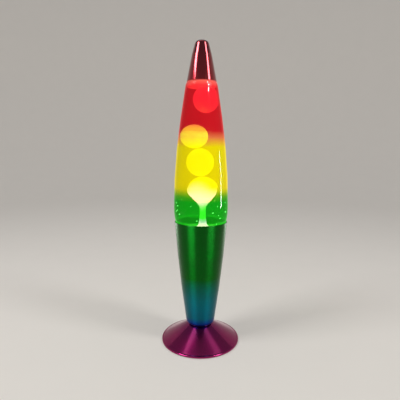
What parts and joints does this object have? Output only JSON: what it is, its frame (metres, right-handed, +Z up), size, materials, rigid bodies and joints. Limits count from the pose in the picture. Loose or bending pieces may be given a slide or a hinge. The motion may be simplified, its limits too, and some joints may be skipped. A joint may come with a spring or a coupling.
{
  "type": "liquid motion lamp",
  "caption": "Free-standing table lamp: a tapered bottle of wax and liquid, lit and warmed by a reflector bulb in a spun cup on a cone foot.",
  "frame": {"origin": "on the table, on the lamp's axis", "axes": "+Z up along the lamp's axis, -Y the front, the cord leaves at +Y"},
  "size_m": [0.111, 0.111, 0.4141],
  "materials": {
    "foot_anodised": "polished",
    "cup_anodised": "satin",
    "cap_anodised": "polished",
    "zinc_steel": "zinc plated",
    "black_rubber": "matte",
    "white_moulding": "moulded",
    "steatite": "unglazed",
    "brass": "plain",
    "frosted_bulb": "frosted",
    "nickel": "plated",
    "bulb_glass_parts": "gloss",
    "tungsten": "glowing",
    "painted_glass": "gloss",
    "tinplate": "lacquered",
    "liner_vinyl": "soft",
    "clear_liquid": "gloss",
    "lit_wax": "soft gloss",
    "spring_steel": "drawn wire"
  },
  "bodies": {
    "base": {"foot_shell": "foot_anodised", "bottom_plate": "zinc_steel", "plate_lugs": "zinc_steel", "plate_screws": "zinc_steel", "foot_pads": "black_rubber", "cord_grommet": "black_rubber", "cup_shell": "cup_anodised", "threaded_tube": "zinc_steel", "tube_washers": "zinc_steel", "tube_nuts": "zinc_steel", "holder_base": "white_moulding", "holder_core": "steatite", "terminal_screws": "zinc_steel", "centre_contact": "brass", "holder_shell": "brass", "holder_sleeve": "white_moulding"},
    "bulb_contact": {"bulb_tip": "nickel"},
    "bulb": {"bulb_glass": "frosted_bulb", "bulb_cap": "nickel", "bulb_insulator": "bulb_glass_parts", "bulb_seal": "bulb_glass_parts", "bulb_leads": "nickel", "bulb_filament": "tungsten"},
    "bottle": {"bottle_glass": "painted_glass", "crown_closure": "tinplate", "closure_liner": "liner_vinyl", "liquid": "clear_liquid", "wax_top": "lit_wax", "wax_column": "lit_wax", "heating_coil": "spring_steel"},
    "rising_side_blob": {"side_blob": "lit_wax"},
    "rising_middle_blob": {"middle_blob": "lit_wax"},
    "cap": {"cap_shell": "cap_anodised"}
  },
  "joints": [
    {"name": "bulb_lift", "type": "slide", "parent": "base", "child": "bulb_contact", "axis": [0, 0, 1], "range_m": [0, 0.00847]},
    {"name": "bulb_turn", "type": "hinge", "parent": "bulb_contact", "child": "bulb", "pos_m": [0, 0, 0.06], "axis": [0, 0, 1], "range_deg": [0, 1080]},
    {"name": "bottle_lift", "type": "slide", "parent": "base", "child": "bottle", "axis": [0, 0, 1], "range_m": [0, 0.16]},
    {"name": "cap_lift", "type": "slide", "parent": "bottle", "child": "cap", "axis": [0, 0, 1], "range_m": [0, 0.08]},
    {"name": "side_blob_rise", "type": "slide", "parent": "bottle", "child": "rising_side_blob", "axis": [0.158, 0, 0.9874], "range_m": [0, 0.014], "deforming": ["liquid"]},
    {"name": "middle_blob_rise", "type": "slide", "parent": "bottle", "child": "rising_middle_blob", "axis": [0, 0, 1], "range_m": [0, 0.014]}
  ],
  "couplings": [
    {"joint": "bulb_turn", "follows": "bulb_lift", "rad_per_m": 2226.5},
    {"joint": "side_blob_rise", "follows": "middle_blob_rise", "ratio": 1}
  ]
}
